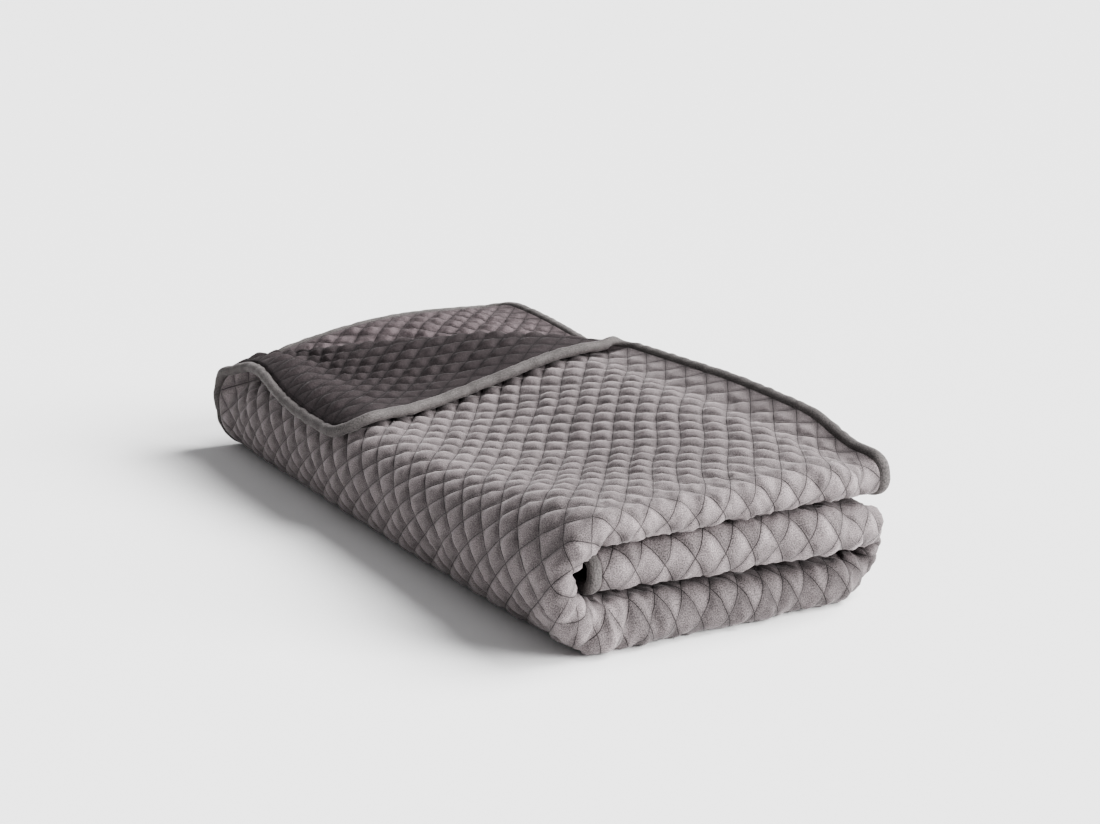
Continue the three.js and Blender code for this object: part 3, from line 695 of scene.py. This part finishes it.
def face_point(column, row, side):
    """Points on the light face (side 1) or the reverse (side -1), and their places on the even lattice."""
    lattice_u, lattice_v = round_corner(column * PITCH_ACROSS / UNITS, row * PITCH_ALONG / UNITS)
    u, v = wander(lattice_u, lattice_v)
    middle = panel_point(u, v)
    past_top = u - (LEFT_FOLD_START - WRAP_FADE / 2)
    fullness = mix(1.0, PUFF_ON_WRAP, smooth(past_top / WRAP_FADE))
    fullness = mix(fullness, PUFF_ON_NOSE, on_nose(v))
    fullness *= mix(PUFF_ON_FLOOR, 1.0, smooth(middle[:, 2] / PRESSED_HEIGHT))
    fullness *= mix(PUFF_BY_EDGE["share"], 1.0, ramp(u, PUFF_BY_EDGE["start"], PUFF_BY_EDGE["end"]))
    if side > 0:
        fullness *= mix(1.0, PUFF_IN_LOOP, in_loop(u, v))
    padding = fullness * puff(lattice_u, lattice_v, side) + wrinkle(lattice_u, lattice_v, side)
    height = side * (SEAM_THICKNESS / 2 + np.maximum(padding, 0.0)) + main_creases(u, v)
    point = middle + normal_of(panel_point, u, v) * height[:, None]
    point[:, 2] = np.maximum(point[:, 2], 0.0)
    return point, lattice_u, lattice_v


def cell_sizes(side):
    """Largest mesh cell wanted at each unit cell of a face."""
    column, row = np.meshgrid(np.arange(COLUMNS) + 0.5, np.arange(ROWS) + 0.5, indexing="ij")
    u = column * PITCH_ACROSS / UNITS
    v = row * PITCH_ALONG / UNITS
    past, _ = crease_place(u, v)
    outer = v < OUTER_END
    over_top = u < BOTTOM_START
    covered = (past < 0) & flap_over(u, v)
    at_loop = over_top & outer & (np.abs(past) < LOOP_REACH)
    at_front = (v > OUTER_END - 2 * PITCH_ALONG) & (v < INNER_START + PITCH_ALONG / 2)
    left_fold = (u > LEFT_FOLD_START - PITCH_ACROSS) & (u < BOTTOM_START + PITCH_ACROSS)
    right_fold = (u > RIGHT_FOLD_START - PITCH_ACROSS) & (u < MIDDLE_START + PITCH_ACROSS)
    size = np.full(u.shape, HIDDEN)
    size[left_fold | right_fold | at_front] = BEND
    if side > 0:
        size[outer & (u > BOTTOM_START) & (u < RIGHT_FOLD_START)] = UNDERSIDE
        size[at_front] = SHOWN
        size[outer & over_top & (past > 0) & (np.minimum(u, v) < LOOP_REACH)] = UNDERSIDE
        size[outer & over_top & (past < 0) & ~covered] = SHOWN
        size[outer & right_fold & ~at_front] = UNDERSIDE
    else:
        bared = CREASE_ON_EDGE * (1.0 - u / CREASE_ON_BACK) + PITCH_ALONG
        size[outer & over_top & (past > 0)] = SHOWN
        size[~outer & over_top & (PANEL_LENGTH - v < bared)] = SHOWN
    size[at_loop] = SHOWN
    return size


def cells_of(side):
    """The face's cells, as a list of (columns, rows, size): each as large as the sizes wanted in it allow."""
    wanted = cell_sizes(side)
    allowed = []
    for level in range(ROOT_LEVEL + 1):
        size = 2**level
        blocks = wanted.reshape(COLUMNS // size, size, ROWS // size, size).min(axis=(1, 3))
        allowed.append(blocks >= size)
    cells = []
    inside = np.zeros_like(allowed[ROOT_LEVEL])
    for level in range(ROOT_LEVEL, -1, -1):
        leaf = allowed[level] & ~inside
        inside = inside | allowed[level]
        columns, rows = np.nonzero(leaf)
        cells.append((columns * 2**level, rows * 2**level, 2**level))
        inside = inside.repeat(2, axis=0).repeat(2, axis=1)
    return cells


def outline(column, row, width, height):
    """The places round a rectangle of cells, anticlockwise from its first corner."""
    places = [(column + x, row) for x in range(width)]
    places += [(column + width, row + y) for y in range(height)]
    places += [(column + x, row + height) for x in range(width, 0, -1)]
    places += [(column, row + y) for y in range(height, 0, -1)]
    return places


def face_triangles(cells, used, number):
    """Triangles of one face; a cell whose neighbours are finer becomes a fan round its middle."""
    triangles = []
    for columns, rows, size in cells:
        if size == 1:
            a, b = number[columns, rows], number[columns + 1, rows]
            c, d = number[columns + 1, rows + 1], number[columns, rows + 1]
            rising = np.abs((columns - rows + UNITS // 2) % UNITS - UNITS // 2)
            falling = np.abs((columns + rows + 1 + UNITS // 2) % UNITS - UNITS // 2)
            up = rising <= falling
            triangles.append(np.stack([a, b, np.where(up, c, d)], axis=1))
            triangles.append(np.stack([np.where(up, a, b), c, d], axis=1))
            continue
        for column, row in zip(columns.tolist(), rows.tolist()):
            ring = [number[place] for place in outline(column, row, size, size) if used[place]]
            centre = number[column + size // 2, row + size // 2]
            fan = [(ring[k], ring[(k + 1) % len(ring)], centre) for k in range(len(ring))]
            triangles.append(np.array(fan))
    return np.concatenate(triangles)


def panel_arrays():
    """One closed sheet: both faces with the edge between them, and what the materials need at each point."""
    faces = []
    for side in (1, -1):
        cells = cells_of(side)
        used = np.zeros((COLUMNS + 1, ROWS + 1), dtype=bool)
        for columns, rows, size in cells:
            for x in (0, size):
                for y in (0, size):
                    used[columns + x, rows + y] = True
        faces.append((side, cells, used))
    edge = [p for p in outline(0, 0, COLUMNS, ROWS) if any(used[p] for _, _, used in faces)]
    points, flats, triangles, sides = [], [], [], []
    start = 0
    rims = []
    for side, cells, used in faces:
        for place in edge:
            used[place] = True
        needed = used.copy()
        for columns, rows, size in cells:
            if size > 1:
                needed[columns + size // 2, rows + size // 2] = True
        columns, rows = np.nonzero(needed)
        number = np.full(needed.shape, -1)
        number[columns, rows] = start + np.arange(len(columns))
        point, u, v = face_point(columns.astype(float), rows.astype(float), side)
        points.append(point)
        flats.append(np.stack([u, v], axis=1))
        sides.append(np.full(len(u), side))
        made = face_triangles(cells, used, number)
        triangles.append(made if side > 0 else made[:, ::-1])
        rims.append(np.array([number[place] for place in edge]))
        start += len(columns)
    light, reverse = rims
    light_next, reverse_next = np.roll(light, -1), np.roll(reverse, -1)
    triangles.append(np.stack([light_next, light, reverse], axis=1))
    triangles.append(np.stack([light_next, reverse, reverse_next], axis=1))
    return np.concatenate(points), np.concatenate(flats), np.concatenate(sides), np.concatenate(triangles)


def add_object(name, data):
    made = bpy.data.objects.new(name, data)
    bpy.context.scene.collection.objects.link(made)
    return made


def make_object(name, points, triangles):
    mesh = bpy.data.meshes.new(name)
    mesh.vertices.add(len(points))
    mesh.vertices.foreach_set("co", (points * MM).astype(np.float32).ravel())
    mesh.loops.add(triangles.size)
    mesh.loops.foreach_set("vertex_index", triangles.astype(np.int32).ravel())
    mesh.polygons.add(len(triangles))
    mesh.polygons.foreach_set("loop_start", np.arange(0, triangles.size, 3, dtype=np.int32))
    mesh.polygons.foreach_set("use_smooth", np.ones(len(triangles), dtype=bool))
    mesh.update(calc_edges=True)
    mesh.validate()
    return add_object(name, mesh)


def set_attribute(made, name, values):
    kind = "FLOAT_VECTOR" if values.ndim == 2 else "FLOAT"
    field = "vector" if values.ndim == 2 else "value"
    attribute = made.data.attributes.new(name, kind, "POINT")
    attribute.data.foreach_set(field, values.astype(np.float32).ravel())


def binding_route():
    """Places along the panel's outline and the directions of travel, anticlockwise."""
    places, headings = [], []
    corners = [
        (PANEL_WIDTH - CORNER_RADIUS, CORNER_RADIUS, -90.0, (CORNER_RADIUS, 0.0)),
        (PANEL_WIDTH - CORNER_RADIUS, PANEL_LENGTH - CORNER_RADIUS, 0.0, (PANEL_WIDTH, CORNER_RADIUS)),
        (CORNER_RADIUS, PANEL_LENGTH - CORNER_RADIUS, 90.0, (PANEL_WIDTH - CORNER_RADIUS, PANEL_LENGTH)),
        (CORNER_RADIUS, CORNER_RADIUS, 180.0, (0.0, PANEL_LENGTH - CORNER_RADIUS)),
    ]
    for centre_u, centre_v, first, start in corners:
        first = math.radians(first)
        heading = np.array([-math.sin(first), math.cos(first)])
        end = np.array([centre_u, centre_v]) + CORNER_RADIUS * np.array([math.cos(first), math.sin(first)])
        length = np.linalg.norm(end - start)
        for share in np.arange(0.0, 1.0, 1.0 / round(length / BINDING_STEP)):
            places.append(mix(np.array(start), end, share))
            headings.append(heading)
        for turn in np.arange(0.0, np.pi / 2, np.pi / 2 / round(CORNER_RADIUS * np.pi / 2 / BINDING_STEP)):
            angle = first + turn
            arm = np.array([math.cos(angle), math.sin(angle)])
            places.append(np.array([centre_u, centre_v]) + CORNER_RADIUS * arm)
            headings.append(np.array([-arm[1], arm[0]]))
    return np.array(places), np.array(headings)


def binding_arrays():
    """A closed welt round the whole edge, with its sewn seam pressed in on both faces."""
    places, headings = binding_route()
    u, v = places.T
    edge = panel_point(u, v)
    up = normal_of(panel_point, u, v)
    forward = unit(panel_point(u + headings[:, 0], v + headings[:, 1]) - edge)
    out = unit(np.cross(forward, up))
    steps = np.linalg.norm(np.roll(edge, -1, axis=0) - edge, axis=1)
    run = np.concatenate([[0.0], np.cumsum(steps)[:-1]])
    draw = np.random.default_rng(SEEDS["binding"])
    angle = 2 * np.pi * np.arange(BINDING_SIDES) / BINDING_SIDES
    wide = squared(np.cos(angle), BINDING_SQUARENESS)
    tall = squared(np.sin(angle), BINDING_SQUARENESS)
    turn = np.abs((angle + np.pi) % (2 * np.pi) - np.pi)
    seam = np.exp(-(((turn - BINDING_SEAM_ANGLE) / BINDING_SEAM_WIDTH) ** 2))
    pucker = np.zeros((len(run), BINDING_SIDES))
    for _ in range(BINDING_PUCKER["waves"]):
        length = draw.uniform(BINDING_PUCKER["shortest"], BINDING_PUCKER["longest"])
        phase = draw.uniform(0.0, 2 * np.pi)
        twist = draw.integers(-BINDING_PUCKER["twist"], BINDING_PUCKER["twist"] + 1)
        pucker += np.sin(2 * np.pi * run[:, None] / length + twist * angle[None, :] + phase)
    pucker *= BINDING_PUCKER["share"] / math.sqrt(BINDING_PUCKER["waves"] / 2)
    scale = 1.0 - BINDING_SEAM_DEPTH * seam[None, :] + pucker
    from_turn = (CREASE_ON_EDGE - BINDING_SQUEEZE["past"] - v) / BINDING_SQUEEZE["along"]
    squeeze = np.where(u < CORNER_RADIUS, BINDING_SQUEEZE["share"] * np.exp(-(from_turn**2)), 0.0)
    offset_out = (BINDING_CENTRE + BINDING_WIDTH * wide[None, :] * scale) * (1.0 - squeeze)[:, None]
    offset_up = BINDING_HEIGHT * tall[None, :] * scale
    points = edge[:, None] + out[:, None] * offset_out[..., None] + up[:, None] * offset_up[..., None]
    points = points.reshape(-1, 3)
    points[:, 2] = np.maximum(points[:, 2], BINDING_FLOOR)
    here = np.arange(len(points)).reshape(-1, BINDING_SIDES)
    after = np.roll(here, -1, axis=1)
    ahead = np.roll(here, -1, axis=0)
    ahead_after = np.roll(after, -1, axis=0)
    first = np.stack([here, ahead, ahead_after], axis=-1).reshape(-1, 3)
    second = np.stack([here, ahead_after, after], axis=-1).reshape(-1, 3)
    flat = np.stack([np.repeat(run, BINDING_SIDES), np.tile(angle * BINDING_HEIGHT, len(run))], axis=1)
    seams = np.tile(seam, len(run))
    return points, flat, seams, np.concatenate([first, second])


def new_material(name):
    material = bpy.data.materials.new(name)
    material.use_nodes = True
    tree = material.node_tree
    tree.nodes.clear()
    output = tree.nodes.new("ShaderNodeOutputMaterial")
    shader = tree.nodes.new("ShaderNodeBsdfPrincipled")
    shader.inputs["Roughness"].default_value = ROUGHNESS
    shader.inputs["Specular IOR Level"].default_value = SPECULAR
    shader.inputs["Sheen Roughness"].default_value = SHEEN["roughness"]
    shader.inputs["Sheen Tint"].default_value = SHEEN_TINT
    tree.links.new(shader.outputs["BSDF"], output.inputs["Surface"])
    return material, tree, shader


class Nodes:
    """Short forms for the few shader nodes that the cloth uses."""

    def __init__(self, tree):
        self.tree = tree

    def put(self, socket, value):
        if isinstance(value, bpy.types.NodeSocket):
            self.tree.links.new(value, socket)
        else:
            socket.default_value = value

    def attribute(self, name, output="Fac"):
        node = self.tree.nodes.new("ShaderNodeAttribute")
        node.attribute_name = name
        return node.outputs[output]

    def math(self, operation, first, second=0.0, third=0.0):
        node = self.tree.nodes.new("ShaderNodeMath")
        node.operation = operation
        for socket, value in zip(node.inputs, (first, second, third)):
            self.put(socket, value)
        return node.outputs["Value"]

    def product(self, first, *others):
        for other in others:
            first = self.math("MULTIPLY", first, other)
        return first

    def noise(self, vector, texture):
        node = self.tree.nodes.new("ShaderNodeTexNoise")
        self.put(node.inputs["Vector"], vector)
        node.inputs["Scale"].default_value = texture["scale"]
        node.inputs["Detail"].default_value = texture["detail"]
        node.inputs["Roughness"].default_value = texture["roughness"]
        return node.outputs["Fac"]

    def span(self, value, low, high, to_low=0.0, to_high=1.0):
        node = self.tree.nodes.new("ShaderNodeMapRange")
        node.interpolation_type = "SMOOTHSTEP"
        self.put(node.inputs["Value"], value)
        node.inputs["From Min"].default_value = low
        node.inputs["From Max"].default_value = high
        node.inputs["To Min"].default_value = to_low
        node.inputs["To Max"].default_value = to_high
        return node.outputs["Result"]

    def mottle(self, noise, texture):
        return self.span(noise, NOISE_LOW, NOISE_HIGH, texture["low"], texture["high"])

    def darken(self, place, mark):
        return self.span(place, mark["start"], mark["end"], 1.0 - mark["darker"], 1.0)

    def blend(self, share, first, second, kind="MIX"):
        node = self.tree.nodes.new("ShaderNodeMix")
        node.data_type = "RGBA"
        node.blend_type = kind
        self.put(node.inputs["Factor"], share)
        self.put(node.inputs["A"], first)
        self.put(node.inputs["B"], second)
        return node.outputs["Result"]

    def grey(self, value):
        node = self.tree.nodes.new("ShaderNodeCombineColor")
        for name in ("Red", "Green", "Blue"):
            self.put(node.inputs[name], value)
        return node.outputs["Color"]

    def split(self, vector):
        node = self.tree.nodes.new("ShaderNodeSeparateXYZ")
        self.put(node.inputs["Vector"], vector)
        return node.outputs["X"], node.outputs["Y"]

    def bump(self, height, relief, normal=None):
        node = self.tree.nodes.new("ShaderNodeBump")
        self.put(node.inputs["Height"], height)
        node.inputs["Distance"].default_value = relief["distance"]
        node.inputs["Strength"].default_value = relief["strength"]
        if normal is not None:
            self.put(node.inputs["Normal"], normal)
        return node.outputs["Normal"]


def velvet():
    """Quilted velvet: pile grain, thin stitch lines between the puffs with painted shade in the hollows
    beside them, the painted light and shade of each point, darker on the reverse.
    """
    material, tree, shader = new_material("velvet")
    nodes = Nodes(tree)
    flat = nodes.attribute("flat", "Vector")
    reverse = nodes.attribute("reverse")
    u, v = nodes.split(flat)
    across = nodes.math("DIVIDE", u, PITCH_ACROSS * MM)
    along = nodes.math("DIVIDE", v, PITCH_ALONG * MM)
    # distance from the nearest stitch line of each set, in diamonds
    rising = nodes.math("PINGPONG", nodes.math("ADD", across, along), 0.5)
    falling = nodes.math("PINGPONG", nodes.math("SUBTRACT", across, along), 0.5)
    line = nodes.math("MINIMUM", rising, falling)
    stitches = nodes.darken(line, STITCH_LINE)
    grain = nodes.noise(flat, GRAIN)
    shade = nodes.product(
        nodes.mottle(grain, GRAIN),
        nodes.mottle(nodes.noise(flat, CRUSH), CRUSH),
        nodes.mottle(nodes.noise(flat, CLOUDS), CLOUDS),
        stitches,
        # painted shade in the hollow beside each stitch line
        nodes.darken(line, PAINTED_HOLLOW_SHADE),
        # painted light and shade: darker puff slopes, darker bottom arm and right-hand fold, lighter reverse
        nodes.attribute("painted_shading"),
    )
    cloth = nodes.blend(reverse, LIGHT_PILE, REVERSE_PILE)
    tree.links.new(nodes.blend(1.0, cloth, nodes.grey(shade), "MULTIPLY"), shader.inputs["Base Color"])
    pile = nodes.bump(grain, GRAIN_BUMP)
    crinkled = nodes.bump(nodes.noise(flat, CRINKLE), CRINKLE_BUMP, pile)
    tree.links.new(nodes.bump(stitches, STITCH_BUMP, crinkled), shader.inputs["Normal"])
    sheen = nodes.span(reverse, 0.0, 1.0, SHEEN["light"], SHEEN["reverse"])
    tree.links.new(sheen, shader.inputs["Sheen Weight"])
    return material


def binding_velvet():
    """Plain velvet strip with its sewn seam."""
    material, tree, shader = new_material("binding_velvet")
    nodes = Nodes(tree)
    flat = nodes.attribute("flat", "Vector")
    grain = nodes.noise(flat, BINDING_GRAIN)
    crush = nodes.noise(flat, BINDING_CRUSH)
    beside_seam = nodes.math("SUBTRACT", 1.0, nodes.attribute("seam"))
    shade = nodes.product(
        nodes.mottle(grain, BINDING_GRAIN),
        nodes.mottle(crush, BINDING_CRUSH),
        nodes.darken(beside_seam, BINDING_SEAM),
    )
    tree.links.new(nodes.blend(1.0, BINDING_PILE, nodes.grey(shade), "MULTIPLY"), shader.inputs["Base Color"])
    pile = nodes.bump(grain, GRAIN_BUMP)
    tree.links.new(nodes.bump(crush, CRUSH_BUMP, pile), shader.inputs["Normal"])
    shader.inputs["Sheen Weight"].default_value = SHEEN["binding"]
    return material


def painted_pile_shading(u, v, reverse):
    """Share of the pile's colour that shows, with painted light and shade: darker on puff slopes that fall
    off along v and on the bottom arm and right-hand fold, lighter on the reverse that is not turned over.
    """
    # painted shade on the bottom arm and the right-hand fold
    at_bottom = smooth((u - BOTTOM_START) / PAINTED_SHADE_CHANGE) * smooth((MIDDLE_START - u) / PAINTED_SHADE_CHANGE)
    light_painted_shading = (1.0 - PAINTED_SLOPE_SHADE["light"] * slope_for_painted_shade(u, v, 1)) * mix(1.0, PAINTED_SHADE_ON_BOTTOM, at_bottom)
    reverse_painted_shading = 1.0 - PAINTED_SLOPE_SHADE["reverse"] * slope_for_painted_shade(u, v, -1)
    # painted light: the reverse that is not turned over is made lighter
    reverse_painted_shading *= np.where(is_turned(u, v), 1.0, PAINTED_LIGHT_ON_REVERSE)
    return np.where(reverse, reverse_painted_shading, light_painted_shading)


def add_cloth():
    """The panel and its binding, set down on the frame. Returns the shift from stack to frame coordinates."""
    points, flat, side, triangles = panel_arrays()
    low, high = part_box("quilted_panel")
    centre = (np.array(low) + np.array(high)) / 2 / MM
    shift = centre - (points.min(axis=0) + points.max(axis=0)) / 2
    shift[2] = 0.0
    panel = make_object("panel", points + shift, triangles)
    reverse = side < 0
    set_attribute(panel, "flat", np.column_stack([flat * MM, np.where(reverse, REVERSE_TEXTURE_SHIFT, 0.0)]))
    set_attribute(panel, "reverse", np.where(reverse, 1.0, 0.0))
    # painted light and shade of the pile at each point
    set_attribute(panel, "painted_shading", painted_pile_shading(flat[:, 0], flat[:, 1], reverse))
    panel.data.materials.append(velvet())

    points, flat, seam, triangles = binding_arrays()
    binding = make_object("binding", points + shift, triangles)
    set_attribute(binding, "flat", np.column_stack([flat * MM, np.zeros(len(flat))]))
    set_attribute(binding, "seam", seam)
    binding.data.materials.append(binding_velvet())
    for piece, node, slot in ((panel, "quilted_panel", "velvet"), (binding, "edge_binding", "binding")):
        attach(piece, "root")
        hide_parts(node)
    return shift


def add_camera(shift):
    data = bpy.data.cameras.new("camera")
    data.sensor_width = CAMERA_SENSOR
    data.lens = CAMERA_LENS
    camera = add_object("camera", data)
    camera.location = Vector((np.array(CAMERA_PLACE) + shift) * MM)
    level = math.cos(CAMERA_ELEVATION)
    drop = math.sin(CAMERA_ELEVATION)
    ahead = Vector((math.sin(CAMERA_AZIMUTH) * level, math.cos(CAMERA_AZIMUTH) * level, -drop))
    camera.rotation_euler = ahead.to_track_quat("-Z", "Y").to_euler()
    bpy.context.scene.camera = camera


def add_floor():
    half = FLOOR_SIZE / 2
    mesh = bpy.data.meshes.new("floor")
    corners = [(-half, -half, 0), (half, -half, 0), (half, half, 0), (-half, half, 0)]
    mesh.from_pydata(corners, [], [(0, 1, 2, 3)])
    floor = add_object("floor", mesh)
    material, _, shader = new_material("floor")
    shader.inputs["Base Color"].default_value = FLOOR_COLOUR
    mesh.materials.append(material)


def add_sun(name, toward, spread, strength):
    data = bpy.data.lights.new(name, "SUN")
    data.angle = math.radians(spread)
    data.energy = strength
    light = add_object(name, data)
    light.rotation_euler = Vector(toward).to_track_quat("-Z", "Y").to_euler()


def add_lights():
    for row in SUNS:
        add_sun(*row)
    world = bpy.data.worlds.new("studio")
    world.use_nodes = True
    background = world.node_tree.nodes["Background"]
    background.inputs["Color"].default_value = SKY_COLOUR
    background.inputs["Strength"].default_value = SKY_STRENGTH
    bpy.context.scene.world = world
    bpy.context.scene.view_settings.look = PICTURE_LOOK


stack_shift = add_cloth()
add_camera(stack_shift)
add_floor()
add_lights()
